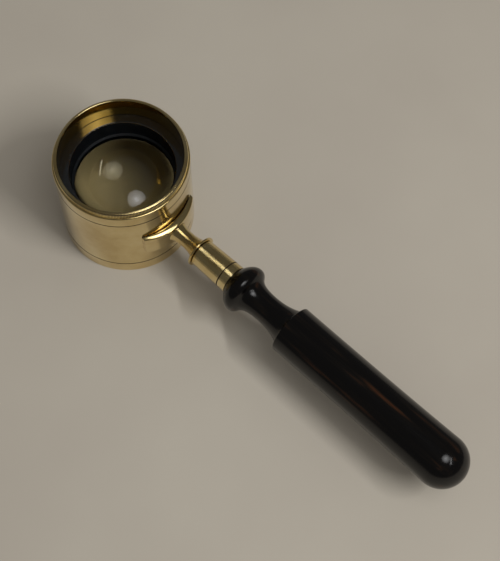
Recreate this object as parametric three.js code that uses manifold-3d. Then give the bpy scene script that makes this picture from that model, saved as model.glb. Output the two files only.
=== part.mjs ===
import * as THREE from 'three';
import { mergeVertices } from 'three/addons/utils/BufferGeometryUtils.js';
import Module from 'manifold-3d';

// Coddington magnifier with a turned handle
// Lengths are in millimetres and +Z is up. The drum stands on its open lower end, and the handle reaches out
// along +X from the drum's side. The origin is under the middle of the whole object, on the table.

// Fits between pieces
const solderGap = 0.15;
const threadGap = 0.2;
const seatGap = 0.2;
const cutOverrun = 1;

// Barrel
const barrelRadius = 25.4;
const barrelHeight = 42;
const barrelWall = 1.1;
const barrelEdgeRound = 0.6;
const barrelFootChamfer = 0.3;
const lineFromTop = 5.3;
const lineFromFoot = 5.8;
const lineWidth = 0.5;
const lineDepth = 0.22;

// Milled screw ring in the barrel's mouth
const skirtWall = 0.85;
const beadSetback = 0.65;
const beadHeight = 1.9;
const beadRound = 0.6;
const beadLip = 0.2;
const toothCount = 290;
const toothDepth = 0.25;

// Screw ring in the barrel's foot
const footRingWall = 0.85;
const footRingRecess = 0.3;
const notchWidth = 2;
const notchDepth = 1.6;

// Lens cell
const cellLength = 27.2;
const cellWall = 4.3;
const cellChamfer = 0.3;
const cellReliefDepth = 1.2;
const cellLandLength = 5;
const lipEdgeThickness = 0.4;
const lipRootThickness = 1.6;

// Glass
const lensFrontRadius = 28;
const lensBackRadius = 36;
const lensThickness = 25.6;
const lensBelowCellTop = 1.53;
const lensGap = 0.2;
const grooveWidth = 2.6;
const grooveDepth = 2.6;

// Ring that holds the glass down
const retainerWidth = 1.1;
const retainerEdgeThickness = 0.3;
const retainerRimHeight = 1.8;

// Saddle
const saddleHeight = 10.2;
const saddleWidth = 25.2;
const saddleThickness = 3.6;
const saddleTipThickness = 0.37;
const tenonRadius = 2.4;
const tenonLength = 2.6;

// Stem
const stemRootRadius = 5.1;
const stemRootSink = 0.9;
const neckRadius = 3.1;
const rootFlareLength = 4.4;
const neckLength = 0.8;
const collarFlareLength = 6.2;
const collarRadius = 6.3;
const collarLedge = 0.9;
const collarThickness = 0.8;
const collarChamfer = 0.2;
const spigotRadius = 2.6;
const spigotLength = 8;

// Ferrule
const ferruleLength = 16.6;
const ferruleFrontRadius = 5.35;
const ferruleTaper = 0.4;
const ferruleWall = 0.8;
const ferruleChamfer = 0.25;
const ferruleLineFromBack = 3.6;
const ferruleLineWidth = 0.5;
const ferruleLineDepth = 0.25;

// Socket and tang
const socketFloor = 1.6;
const tangRadius = 2;
const tangLength = 52;
const tangChamfer = 0.5;

// Wooden handle
const bulbRadius = 9.55;
const bulbFrontLength = 5.1;
const bulbBackLength = 2.9;
const bulbBackRadius = 7.7;
const woodNeckRadius = 5.35;
const woodNeckFrontLength = 8.6;
const woodNeckBackLength = 11.2;
const shoulderStep = 1.48;
const shoulderChamfer = 0.4;
const gripFrontRadius = 9.48;
const gripBackRadius = 10;
const gripLength = 72;
const gripSwellPower = 3;

// Where the pulls of the turned curves lie, as shares of each curve's rise and run
const bulbFrontPullShares = [[0.55, 0.28], [1, 0.6]];
const bulbBackPullShares = [[0, 0.55], [0.45, 0.75]];
const woodNeckFrontPullShares = [[0.6, 0.12], [1, 0.35]];
const woodNeckBackPullShares = [[0, 0.45], [0.45, 0.82]];

// How finely round shapes are cut
const barrelSides = 64;
const cellSides = 48;
const lensSides = 40;
const handleSides = 30;
const tangSides = 24;
const arcSteps = 6;
const shortArcSteps = 3;

// Drum sizes that follow from the ones above
const middleHeight = barrelHeight / 2;
const barrelBoreRadius = barrelRadius - barrelWall;
const sleeveRadius = barrelBoreRadius - threadGap;
const cellTop = middleHeight + cellLength / 2;
const cellFoot = middleHeight - cellLength / 2;
const cellBoreRadius = sleeveRadius - cellWall;
const apertureRadius = cellBoreRadius - retainerWidth;
const lensRadius = cellBoreRadius - lensGap;
const lensTop = cellTop - lensBelowCellTop;
const frontCentre = lensTop - lensFrontRadius;
const backCentre = lensTop - lensThickness + lensBackRadius;

// Saddle: its inner arc lies on the barrel, and its outer arc runs through the crown and both tips
const saddleFace = barrelRadius + saddleThickness;
const saddleHalfWidth = saddleWidth / 2;
const saddleSeatRadius = barrelRadius + solderGap;
const saddleTip = Math.sqrt(saddleSeatRadius ** 2 - saddleHalfWidth ** 2) + saddleTipThickness;
const saddleRise = saddleFace - saddleTip;
const saddleFaceRadius = (saddleHalfWidth ** 2 + saddleRise ** 2) / (2 * saddleRise);
const saddleFaceCentre = saddleFace - saddleFaceRadius;

// Places along the handle, from the drum's axis
const neckStart = saddleFace - stemRootSink + rootFlareLength;
const neckEnd = neckStart + neckLength;
const collarFront = neckEnd + collarFlareLength;
const collarBack = collarFront + collarThickness;
const ferruleBoreRadius = ferruleFrontRadius - ferruleWall;
const ferruleBackRadius = ferruleFrontRadius + ferruleTaper;
const insideFerrule = ferruleBoreRadius - solderGap;
const ferruleFront = collarBack + seatGap;
const ferruleBack = ferruleFront + ferruleLength;
const socketBoreEnd = collarBack + spigotLength + seatGap;
const socketEnd = socketBoreEnd + socketFloor;
const woodFront = ferruleBack + seatGap;
const shoulder = woodFront + bulbFrontLength + bulbBackLength + woodNeckFrontLength + woodNeckBackLength;
const gripBack = shoulder + gripLength;
const handleReach = gripBack + gripBackRadius;
const barrelX = (barrelRadius - handleReach) / 2;

const wasm = await Module();
wasm.setup();

// Solid of revolution about +Z from points [radius, height] that close on themselves or end on the axis
function turned(outline, sides) {
  const points = outline.map(([radius, height]) => new THREE.Vector2(radius, height));
  const closed = points[0].equals(points[points.length - 1]);
  const ring = closed ? points.slice(1) : points;
  if (THREE.ShapeUtils.area(ring) < 0) points.reverse();
  const geometry = new THREE.LatheGeometry(points, sides);
  geometry.rotateX(Math.PI / 2);
  return geometry;
}

// The same about +X, for the pieces that are strung along the handle
function turnedAlong(outline, sides) {
  const geometry = turned(outline, sides);
  geometry.rotateY(Math.PI / 2);
  return geometry;
}

function closedOutline(points) {
  return [...points, points[0]];
}

// Points of an arc about [radius, height], with angles from the radial direction
function arc(centre, size, from, to, steps) {
  return Array.from({ length: steps + 1 }, (_, step) => {
    const angle = from + (to - from) * step / steps;
    return [centre[0] + size * Math.cos(angle), centre[1] + size * Math.sin(angle)];
  });
}

// A quarter of an ellipse between two points. It leaves the first one level, which is along the axis, or square
// to it, and reaches the last one the other way.
function quarter(from, to, leaves, steps) {
  return Array.from({ length: steps + 1 }, (_, step) => {
    const angle = Math.PI / 2 * step / steps;
    const early = Math.sin(angle);
    const late = 1 - Math.cos(angle);
    const [rise, run] = leaves === 'level' ? [late, early] : [early, late];
    return [from[0] + (to[0] - from[0]) * rise, from[1] + (to[1] - from[1]) * run];
  });
}

// A freely pulled curve between two points
function pulled(from, to, pullShares, steps) {
  const at = ([rise, run]) => new THREE.Vector2(
    from[0] + (to[0] - from[0]) * rise,
    from[1] + (to[1] - from[1]) * run,
  );
  const curve = new THREE.CubicBezierCurve(at([0, 0]), ...pullShares.map(at), at([1, 1]));
  return curve.getPoints(steps).map(({ x, y }) => [x, y]);
}

function toSolid(geometry) {
  const bare = geometry.index ? geometry.toNonIndexed() : geometry.clone();
  bare.deleteAttribute('normal');
  bare.deleteAttribute('uv');
  const merged = mergeVertices(bare);
  const corners = [];
  for (let k = 0; k < merged.index.count; k += 3) {
    const [a, b, c] = [0, 1, 2].map((corner) => merged.index.getX(k + corner));
    if (a !== b && b !== c && c !== a) corners.push(a, b, c);
  }
  return new wasm.Manifold(new wasm.Mesh({
    numProp: 3,
    vertProperties: new Float32Array(merged.attributes.position.array),
    triVerts: new Uint32Array(corners),
  }));
}

function toGeometry(solid) {
  const mesh = solid.getMesh();
  const geometry = new THREE.BufferGeometry();
  geometry.setAttribute('position', new THREE.BufferAttribute(mesh.vertProperties, 3));
  geometry.setIndex(new THREE.BufferAttribute(mesh.triVerts, 1));
  geometry.computeVertexNormals();
  return geometry;
}

function join(...geometries) {
  return toGeometry(geometries.map(toSolid).reduce((whole, piece) => whole.add(piece)));
}

function cut(geometry, ...tools) {
  return toGeometry(tools.map(toSolid).reduce((left, tool) => left.subtract(tool), toSolid(geometry)));
}

const polishedBrass = { color: 0xc9a95c, roughness: 0.16, metalness: 1 };
const blackLacquer = { color: 0x15161a, roughness: 0.35, metalness: 0 };
const opticalGlass = { color: 0xf2f4ee, roughness: 0.02, metalness: 0 };
const ebony = { color: 0x17110e, roughness: 0.32, metalness: 0 };

function piece(name, geometry, finish) {
  const mesh = new THREE.Mesh(geometry, new THREE.MeshStandardMaterial(finish));
  mesh.name = name;
  return mesh;
}

// A scribed line: a vee cut into a wall at one height, as three points on the way up
function scribed(radius, height, width, depth) {
  return [
    [radius, height - width / 2],
    [radius - depth, height],
    [radius, height + width / 2],
  ];
}

function makeBarrel() {
  const roundCentre = [barrelRadius - barrelEdgeRound, barrelHeight - barrelEdgeRound];
  return turned(closedOutline([
    [barrelBoreRadius, 0],
    [barrelRadius - barrelFootChamfer, 0],
    [barrelRadius, barrelFootChamfer],
    ...scribed(barrelRadius, lineFromFoot, lineWidth, lineDepth),
    ...scribed(barrelRadius, barrelHeight - lineFromTop, lineWidth, lineDepth),
    ...arc(roundCentre, barrelEdgeRound, 0, Math.PI / 2, shortArcSteps),
    [barrelBoreRadius, barrelHeight],
  ]), barrelSides);
}

// A ring about +Z whose section is [radius, height, tooth share]. A radius is cut by its share of the tooth's
// depth at every second place round the ring.
function toothed(section, teeth, depth) {
  const places = 2 * teeth;
  const corners = [];
  for (let k = 0; k < places; k += 1) {
    const angle = Math.PI * k / teeth;
    for (const [radius, height, share] of section) {
      const reach = radius - (k % 2) * depth * share;
      corners.push(reach * Math.cos(angle), reach * Math.sin(angle), height);
    }
  }
  const faces = [];
  const rows = section.length;
  for (let k = 0; k < places; k += 1) {
    const here = k * rows;
    const next = ((k + 1) % places) * rows;
    for (let row = 0; row < rows; row += 1) {
      const after = (row + 1) % rows;
      faces.push(here + row, next + row, next + after);
      faces.push(here + row, next + after, here + after);
    }
  }
  const geometry = new THREE.BufferGeometry();
  geometry.setAttribute('position', new THREE.Float32BufferAttribute(corners, 3));
  geometry.setIndex(faces);
  return geometry;
}

// The milled bead stands round the top of a plain skirt, which screws into the barrel and shows as a thin lip
// above the teeth
function makeMilledRing() {
  const seat = barrelHeight + seatGap;
  const top = seat + beadHeight;
  const beadRadius = barrelRadius - beadSetback;
  const skirtBore = sleeveRadius - skirtWall;
  const skirtMiddle = skirtBore + skirtWall / 2;
  const bead = toothed([
    [skirtMiddle, seat, 0],
    [beadRadius, seat, 1],
    [beadRadius, top - beadRound, 1],
    [beadRadius - beadRound, top, 0],
    [skirtMiddle, top, 0],
  ], toothCount, toothDepth);
  const skirt = turned(closedOutline([
    [skirtBore, cellTop + seatGap],
    [sleeveRadius, cellTop + seatGap],
    ...arc([skirtMiddle, top + beadLip - skirtWall / 2], skirtWall / 2, 0, Math.PI, shortArcSteps),
  ]), barrelSides);
  return join(bead, skirt);
}

// Two notches across the foot take the spanner that turns this ring
function makeBaseRing() {
  const bore = sleeveRadius - footRingWall;
  const ring = turned(closedOutline([
    [bore, footRingRecess],
    [sleeveRadius, footRingRecess],
    [sleeveRadius, cellFoot - seatGap],
    [bore, cellFoot - seatGap],
  ]), barrelSides);
  const notch = new THREE.BoxGeometry(2 * barrelRadius, notchWidth, 2 * notchDepth);
  notch.translate(0, 0, footRingRecess);
  return cut(ring, notch);
}

// Heights of the glass's upper face and of its flatter lower face, at a distance from the axis. A clearance
// moves the height off the glass, for the pieces that hold it.
function frontHeight(radius, clearance) {
  return frontCentre + Math.sqrt((lensFrontRadius + clearance) ** 2 - radius ** 2);
}

function backHeight(radius, clearance) {
  return backCentre - Math.sqrt((lensBackRadius + clearance) ** 2 - radius ** 2);
}

// Points along a face, from one distance to another
function faceArc(height, from, to, clearance, steps) {
  return Array.from({ length: steps + 1 }, (_, step) => {
    const radius = from + (to - from) * step / steps;
    return [radius, height(radius, clearance)];
  });
}

function makeLensCell() {
  const lipRoot = backHeight(cellBoreRadius, seatGap);
  const lipEdge = backHeight(apertureRadius, seatGap);
  const relief = sleeveRadius - cellReliefDepth;
  const reliefFoot = cellFoot + cellLandLength;
  const reliefTop = cellTop - cellLandLength;
  return turned(closedOutline([
    [cellBoreRadius + cellChamfer, cellFoot],
    [sleeveRadius, cellFoot],
    [sleeveRadius, reliefFoot],
    [relief, reliefFoot + cellReliefDepth],
    [relief, reliefTop - cellReliefDepth],
    [sleeveRadius, reliefTop],
    [sleeveRadius, cellTop],
    [cellBoreRadius + cellChamfer, cellTop],
    [cellBoreRadius, cellTop - cellChamfer],
    [cellBoreRadius, lipRoot],
    [apertureRadius, lipEdge],
    [apertureRadius, lipEdge - lipEdgeThickness],
    [cellBoreRadius, lipRoot - lipRootThickness],
    [cellBoreRadius, cellFoot + cellChamfer],
  ]), cellSides);
}

// The underside follows the glass, and the top dips towards it
function makeRetainingRing() {
  const outer = cellBoreRadius - threadGap;
  const underside = faceArc(frontHeight, apertureRadius, outer, seatGap, shortArcSteps);
  const [, edge] = underside[0];
  const [, rim] = underside[underside.length - 1];
  return turned(closedOutline([
    ...underside,
    [outer, rim + retainerRimHeight],
    [apertureRadius, edge + retainerEdgeThickness],
  ]), cellSides);
}

// Two spherical faces on one thick disc, with a waist ground round the middle of its wall as the stop
function makeLens() {
  const lower = faceArc(backHeight, 0, lensRadius, 0, arcSteps);
  const upper = faceArc(frontHeight, lensRadius, 0, 0, arcSteps);
  const waistHeight = (backHeight(lensRadius, 0) + frontHeight(lensRadius, 0)) / 2;
  const grooveRound = grooveWidth / 2;
  const grooveCentre = [lensRadius - grooveDepth + grooveRound, waistHeight];
  const waist = [
    [lensRadius, waistHeight - grooveRound],
    ...arc(grooveCentre, grooveRound, -Math.PI / 2, -1.5 * Math.PI, shortArcSteps),
    [lensRadius, waistHeight + grooveRound],
  ];
  return turned([...lower, ...waist, ...upper], lensSides);
}

// Crescent between the barrel and a tighter arc, bored for the stem's tenon
function makeSaddle() {
  const seatAngle = Math.asin(saddleHalfWidth / saddleSeatRadius);
  const faceAngle = Math.asin(saddleHalfWidth / saddleFaceRadius);
  const outline = [
    ...arc([0, 0], saddleSeatRadius, -seatAngle, seatAngle, 2 * arcSteps),
    ...arc([saddleFaceCentre, 0], saddleFaceRadius, faceAngle, -faceAngle, 2 * arcSteps),
  ].map(([along, across]) => new THREE.Vector2(along, across));
  const block = new THREE.ExtrudeGeometry(new THREE.Shape(outline), {
    depth: saddleHeight,
    bevelEnabled: false,
  });
  block.translate(0, 0, -saddleHeight / 2);
  const socketRadius = tenonRadius + solderGap;
  const socket = turnedAlong([
    [0, barrelRadius - cutOverrun],
    [socketRadius, barrelRadius - cutOverrun],
    [socketRadius, saddleFace + cutOverrun],
    [0, saddleFace + cutOverrun],
  ], tangSides);
  return cut(block, socket);
}

// The root is hollowed to the saddle's face, then the tenon is added
function makeStem() {
  const flared = turnedAlong([
    [0, barrelRadius],
    [stemRootRadius, barrelRadius],
    ...quarter([stemRootRadius, neckStart - rootFlareLength], [neckRadius, neckStart], 'square', arcSteps),
    ...quarter([neckRadius, neckEnd], [collarRadius - collarLedge, collarFront], 'level', arcSteps),
    [collarRadius - collarChamfer, collarFront],
    [collarRadius, collarFront + collarChamfer],
    [collarRadius, collarBack - collarChamfer],
    [collarRadius - collarChamfer, collarBack],
    [spigotRadius, collarBack],
    [spigotRadius, collarBack + spigotLength - collarChamfer],
    [spigotRadius - collarChamfer, collarBack + spigotLength],
    [0, collarBack + spigotLength],
  ], handleSides);
  const saddleBody = turned([
    [0, -saddleHeight],
    [saddleFaceRadius + solderGap, -saddleHeight],
    [saddleFaceRadius + solderGap, saddleHeight],
    [0, saddleHeight],
  ], barrelSides);
  saddleBody.translate(saddleFaceCentre, 0, 0);
  const tenonEnd = saddleFace - tenonLength;
  const tenon = turnedAlong([
    [0, tenonEnd],
    [tenonRadius, tenonEnd],
    [tenonRadius, neckStart],
    [0, neckStart],
  ], tangSides);
  return join(cut(flared, saddleBody), tenon);
}

function makeFerrule() {
  const line = ferruleBack - ferruleLineFromBack;
  const lineShare = (line - ferruleFront) / ferruleLength;
  const lineRadius = ferruleFrontRadius + (ferruleBackRadius - ferruleFrontRadius) * lineShare;
  return turnedAlong(closedOutline([
    [ferruleBoreRadius, ferruleFront],
    [ferruleFrontRadius - ferruleChamfer, ferruleFront],
    [ferruleFrontRadius, ferruleFront + ferruleChamfer],
    ...scribed(lineRadius, line, ferruleLineWidth, ferruleLineDepth),
    [ferruleBackRadius, ferruleBack],
    [ferruleBoreRadius, ferruleBack],
  ]), handleSides);
}

// Socket for the stem's screw, drawn out behind into the tang that holds the wood
function makeTang() {
  const bore = spigotRadius + threadGap;
  const tangEnd = socketEnd + tangLength;
  return turnedAlong([
    [0, socketBoreEnd],
    [bore, socketBoreEnd],
    [bore, ferruleFront],
    [insideFerrule, ferruleFront],
    [insideFerrule, socketEnd],
    [tangRadius, socketEnd],
    [tangRadius, tangEnd - tangChamfer],
    [tangRadius - tangChamfer, tangEnd],
    [0, tangEnd],
  ], tangSides);
}

// Bulb, neck, square shoulder and swelling grip, turned from one billet and bored for the tang
function makeGrip() {
  const bulbTop = woodFront + bulbFrontLength;
  const bulbEnd = bulbTop + bulbBackLength;
  const waist = bulbEnd + woodNeckFrontLength;
  const tenonFront = socketEnd + seatGap;
  const tangBore = tangRadius + threadGap;
  const neckFlareRadius = gripFrontRadius - shoulderStep;
  const swell = Array.from({ length: arcSteps }, (_, step) => {
    const share = (step + 1) / arcSteps;
    const radius = gripFrontRadius + (gripBackRadius - gripFrontRadius) * share ** gripSwellPower;
    return [radius, shoulder + shoulderChamfer + (gripLength - shoulderChamfer) * share];
  });
  return turnedAlong([
    [0, tenonFront + tangLength],
    [tangBore, tenonFront + tangLength],
    [tangBore, tenonFront],
    [insideFerrule, tenonFront],
    [insideFerrule, woodFront],
    ...pulled([ferruleBackRadius, woodFront], [bulbRadius, bulbTop], bulbFrontPullShares, arcSteps),
    ...pulled([bulbRadius, bulbTop], [bulbBackRadius, bulbEnd], bulbBackPullShares, shortArcSteps).slice(1),
    ...pulled([bulbBackRadius, bulbEnd], [woodNeckRadius, waist], woodNeckFrontPullShares, arcSteps).slice(1),
    ...pulled([woodNeckRadius, waist], [neckFlareRadius, shoulder], woodNeckBackPullShares, arcSteps).slice(1),
    [gripFrontRadius - shoulderChamfer, shoulder],
    [gripFrontRadius, shoulder + shoulderChamfer],
    ...swell,
    ...arc([0, gripBack], gripBackRadius, 0, Math.PI / 2, arcSteps).slice(1, -1),
    [0, gripBack + gripBackRadius],
  ], handleSides);
}

const drum = new THREE.Group();
drum.position.set(barrelX, 0, 0);
drum.add(piece('barrel', makeBarrel(), polishedBrass));
drum.add(piece('milled_ring', makeMilledRing(), polishedBrass));
drum.add(piece('base_ring', makeBaseRing(), polishedBrass));
drum.add(piece('lens_cell', makeLensCell(), blackLacquer));
drum.add(piece('retaining_ring', makeRetainingRing(), blackLacquer));
drum.add(piece('lens', makeLens(), opticalGlass));

const handle = new THREE.Group();
handle.position.set(0, 0, middleHeight);
handle.add(piece('saddle', makeSaddle(), polishedBrass));
handle.add(piece('stem', makeStem(), polishedBrass));
handle.add(piece('ferrule', makeFerrule(), polishedBrass));
handle.add(piece('handle_tang', makeTang(), polishedBrass));
handle.add(piece('handle_grip', makeGrip(), ebony));
drum.add(handle);

const magnifier = new THREE.Group();
magnifier.add(drum);

export default magnifier;
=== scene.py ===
# %% [markdown]
# # A Coddington magnifier in lacquered brass and ebony
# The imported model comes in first, as a frame that never moves. Every piece modelled below is drawn in the
# same place, in metres, and rides on the body that carries it, so it follows the screw ring or the
# handle.

# %% Load the frame
import math

import bpy
from mathutils import Matrix, Vector


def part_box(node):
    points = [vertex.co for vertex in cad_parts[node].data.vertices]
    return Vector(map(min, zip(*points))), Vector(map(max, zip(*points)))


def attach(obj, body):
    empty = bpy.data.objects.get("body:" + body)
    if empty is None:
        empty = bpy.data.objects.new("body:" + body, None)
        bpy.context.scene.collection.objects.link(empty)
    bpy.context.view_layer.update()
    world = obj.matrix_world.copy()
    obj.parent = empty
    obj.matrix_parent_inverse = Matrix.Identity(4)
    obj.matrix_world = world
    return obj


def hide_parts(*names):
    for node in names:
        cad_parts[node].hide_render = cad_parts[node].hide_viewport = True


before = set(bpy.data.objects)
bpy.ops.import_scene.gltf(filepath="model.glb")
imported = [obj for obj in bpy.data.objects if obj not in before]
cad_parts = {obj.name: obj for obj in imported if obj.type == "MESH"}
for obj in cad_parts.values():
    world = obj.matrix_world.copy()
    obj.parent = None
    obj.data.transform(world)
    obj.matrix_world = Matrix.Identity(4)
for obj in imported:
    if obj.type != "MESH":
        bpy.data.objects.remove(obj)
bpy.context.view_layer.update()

# %% [markdown]
# ## The driving sizes
# A turned instrument is a family of circles on two axes, so nearly everything follows from where the
# drum's axis and the handle's axis are. The frame gives both. The small sizes are what a turner would
# write on the drawing, in millimetres.

# %% Axes and sizes taken from the frame
MM = 0.001
barrel_low, barrel_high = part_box("barrel")
saddle_low, saddle_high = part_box("saddle")
ferrule_low, ferrule_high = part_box("ferrule")
grip_low, grip_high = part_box("handle_grip")
cell_low, cell_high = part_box("lens_cell")
ring_low, ring_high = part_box("milled_ring")
stem_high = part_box("stem")[1]

DRUM_X = (barrel_low.x + barrel_high.x) / 2
HANDLE_Z = (grip_low.z + grip_high.z) / 2
BARREL_RADIUS = (barrel_high.x - barrel_low.x) / 2
BARREL_TOP = barrel_high.z
TUBE_WALL = 1.1 * MM
THREAD_GAP = 0.2 * MM
BARREL_BORE = BARREL_RADIUS - TUBE_WALL
SLEEVE_RADIUS = BARREL_BORE - THREAD_GAP
print("drum axis at x", round(DRUM_X, 5), "handle axis at z", round(HANDLE_Z, 5))

# %% [markdown]
# ## Drawing a turned piece
# On a lathe a piece is one outline turned about one axis, and that is the shortest way to model it too. A
# tube could also be made from a cylinder with its ends inset and bridged, but each step in its width
# would be one more operation. An outline holds them all. A plane is added and merged to a single vertex,
# the vertex is extruded from corner to corner of the outline, the corners that a turner would break are
# bevelled, and the chain is spun. Weighted normals then keep the long plain walls true next to their
# small rounded edges, which matters on a metal that mirrors the room. Points of the seam that lie within
# a tenth of a micron are merged, and a corner is found again by its place, within two microns.

# %% Helpers for turned pieces
UP = Vector((0, 0, 1))
ALONG = Vector((1, 0, 0))
DRUM_FOOT = Vector((DRUM_X, 0, 0))
HANDLE_ROOT = Vector((DRUM_X, 0, HANDLE_Z))
SEAM = 1e-7
SAME_PLACE = 2e-6
SOFT_ANGLE = math.radians(34)
CORNER_SEGMENTS = 5


def select_where(piece, wanted):
    """Selects, in edit mode, the vertices at places for which wanted(place) is true."""
    bpy.ops.mesh.select_all(action='DESELECT')
    bpy.ops.object.mode_set(mode='OBJECT')
    chosen = 0
    for vertex in piece.data.vertices:
        vertex.select = bool(wanted(vertex.co))
        chosen += vertex.select
    bpy.ops.object.mode_set(mode='EDIT')
    return chosen


def start_at(name, place):
    """A new object that is one vertex, in edit mode, with its own origin at the frame's."""
    bpy.ops.object.select_all(action='DESELECT')
    bpy.ops.mesh.primitive_plane_add(size=MM, location=place)
    piece = bpy.context.object
    piece.name = name
    piece.data.name = name
    bpy.ops.object.transform_apply(location=True)
    bpy.ops.object.mode_set(mode='EDIT')
    bpy.ops.mesh.select_all(action='SELECT')
    bpy.ops.mesh.merge(type='CENTER')
    return piece


def draw_outline(name, outline, axis, foot, closed=True):
    """Extrudes a vertex along an outline of (radius, distance, corner round) and rounds its corners."""
    out = ALONG if axis == UP else -UP
    places = [foot + out * radius + axis * distance for radius, distance, *_ in outline]
    piece = start_at(name, places[0])
    for here, there in zip(places, places[1:]):
        bpy.ops.mesh.extrude_region_move(TRANSFORM_OT_translate={"value": there - here})
    if closed:
        ends = (places[0], places[-1])
        select_where(piece, lambda co: min((co - end).length for end in ends) < SAME_PLACE)
        bpy.ops.mesh.edge_face_add()
    rounds = sorted({corner[2] for corner in outline if len(corner) > 2 and corner[2]})
    for size in rounds:
        corners = [place for place, corner in zip(places, outline) if len(corner) > 2 and corner[2] == size]
        select_where(piece, lambda co: min((co - corner).length for corner in corners) < SAME_PLACE)
        bpy.ops.mesh.bevel(offset=size, segments=CORNER_SEGMENTS, affect='VERTICES')
    return piece


def spin_round(piece, axis, foot, steps):
    """Turns the outline about the axis, merges the seam and points all faces outward."""
    bpy.ops.mesh.select_all(action='SELECT')
    bpy.ops.mesh.spin(steps=steps, angle=2 * math.pi, center=foot, axis=axis)
    bpy.ops.mesh.select_all(action='SELECT')
    bpy.ops.mesh.remove_doubles(threshold=SEAM)
    bpy.ops.mesh.normals_make_consistent(inside=False)
    bpy.ops.object.mode_set(mode='OBJECT')


def apply_modifier(piece, kind, **settings):
    bpy.context.view_layer.objects.active = piece
    piece.select_set(True)
    bpy.ops.object.modifier_add(type=kind)
    modifier = piece.modifiers[-1]
    for setting, value in settings.items():
        setattr(modifier, setting, value)
    bpy.ops.object.modifier_apply(modifier=modifier.name)


def smooth(piece):
    bpy.context.view_layer.objects.active = piece
    piece.select_set(True)
    bpy.ops.object.shade_smooth_by_angle(angle=SOFT_ANGLE)
    apply_modifier(piece, 'WEIGHTED_NORMAL', keep_sharp=True)
    print(piece.name, len(piece.data.polygons), "faces")


def turned(name, outline, axis, foot, steps, closed=True):
    piece = draw_outline(name, outline, axis, foot, closed)
    spin_round(piece, axis, foot, steps)
    smooth(piece)
    return piece


# %% [markdown]
# ## Curves that a hand tool leaves
# Between two turned corners the tool leaves either a quarter round, which starts square or level, or a
# freely pulled curve. Both are worked out from their two ends, so that they meet their neighbours
# exactly. Points read off the photo would give the same shape, but they would no longer fit when a size
# changes.

# %% Helpers for curved stretches of an outline
def arc(centre, size, start, end, steps):
    angles = [start + (end - start) * step / steps for step in range(steps + 1)]
    return [(centre[0] + size * math.cos(a), centre[1] + size * math.sin(a)) for a in angles]


def quarter(start, end, leaves_level, steps):
    points = []
    for step in range(steps + 1):
        angle = math.pi / 2 * step / steps
        early, late = math.sin(angle), 1 - math.cos(angle)
        rise, run = (late, early) if leaves_level else (early, late)
        points.append((start[0] + (end[0] - start[0]) * rise, start[1] + (end[1] - start[1]) * run))
    return points


def pulled(start, end, first_pull, second_pull, steps):
    """A Bezier stretch. The pulls are shares of its rise and its run."""
    rise, run = end[0] - start[0], end[1] - start[1]

    def at(share):
        return Vector((start[0] + rise * share[0], start[1] + run * share[1]))

    a, b, c, d = at((0, 0)), at(first_pull), at(second_pull), at((1, 1))
    points = []
    for step in range(steps + 1):
        t = step / steps
        place = a * (1 - t) ** 3 + b * 3 * t * (1 - t) ** 2 + c * 3 * t ** 2 * (1 - t) + d * t ** 3
        points.append((place.x, place.y))
    return points


# %% [markdown]
# ## One function for material nodes
# Every finish below is a small graph of nodes. The helper adds one node, sets its properties, fills its
# inputs with values or with other nodes' outputs, and sets the colour stops of a ramp. Colours are
# written as the eye reads them on a screen, in hex, and one function turns them to the linear values that
# light is reckoned in. A noise or wave node takes its scale as a count to the metre, so each pattern
# below is given as a count to the millimetre, times PER_MM.

# %% Material helpers
PER_MM = 1 / MM


def linear(hex_colour):
    channels = [int(hex_colour[i:i + 2], 16) / 255 for i in (1, 3, 5)]
    return tuple(c / 12.92 if c <= 0.04045 else ((c + 0.055) / 1.055) ** 2.4 for c in channels) + (1,)


def add_node(tree, kind, inputs=None, stops=(), **settings):
    """Adds a node. Inputs are values or sockets to link, stops are (position, hex colour) on a ramp."""
    node = tree.nodes.new(kind)
    for setting, value in settings.items():
        setattr(node, setting, value)
    for socket, value in (inputs or {}).items():
        if isinstance(value, bpy.types.NodeSocket):
            tree.links.new(value, node.inputs[socket])
        else:
            node.inputs[socket].default_value = value
    for number, (position, hex_colour) in enumerate(stops):
        elements = node.color_ramp.elements
        element = elements[number] if number < len(elements) else elements.new(position)
        element.position = position
        element.color = linear(hex_colour)
    return node


def new_material(name):
    """An empty node tree with its output, and the object's own coordinates to draw patterns on."""
    material = bpy.data.materials.new(name)
    material.use_nodes = True
    tree = material.node_tree
    tree.nodes.clear()
    output = add_node(tree, "ShaderNodeOutputMaterial")
    place = add_node(tree, "ShaderNodeTexCoord").outputs["Object"]
    print("material", name)
    return material, tree, output, place


# %% [markdown]
# ## Polished brass
# The metal work is yellow brass, polished on the lathe and lacquered, and then handled for a century. The
# eye reads that as a pale gold mirror, a little greener and browner in patches, with a fine lathe grain
# that runs round the piece. The brass is a bare metal: metallic 1, the default IOR, and a low roughness
# that the grain varies. The patches are some 17 mm across, as handling leaves them. The lacquer over the
# metal is a clear coat, which adds the thin white sheen at glancing angles. The grain of the drum runs
# level and that of the handle's fittings runs round the X axis, so each gets a noise squeezed along its
# own axis. Real grain is some 20 lines to the millimetre. It is drawn coarser, at about 5, because finer
# lines would vanish at this size. A picture of worn brass could be wrapped round each piece, but noise
# needs no unwrapping and stays sharp close up. Inside the screw ring no hand has rubbed off the maker's
# gold-coloured lacquer, so that wall is deeper and yellower.
#
# Stem and ferrule keep the fine screw-like marks of the turning tool, a quarter of a millimetre apart.
# Each mark throws the lamp's light along the piece, so the eye sees one bright line down its whole
# length. They are a wave along X in the bump. The wave texture counts 20 radians to the unit, so its
# scale is the marks' number times a tenth of pi. The milled bead is satin: its crests are too small and
# too many to mirror anything, so it is rougher and a little less of a metal.

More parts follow.
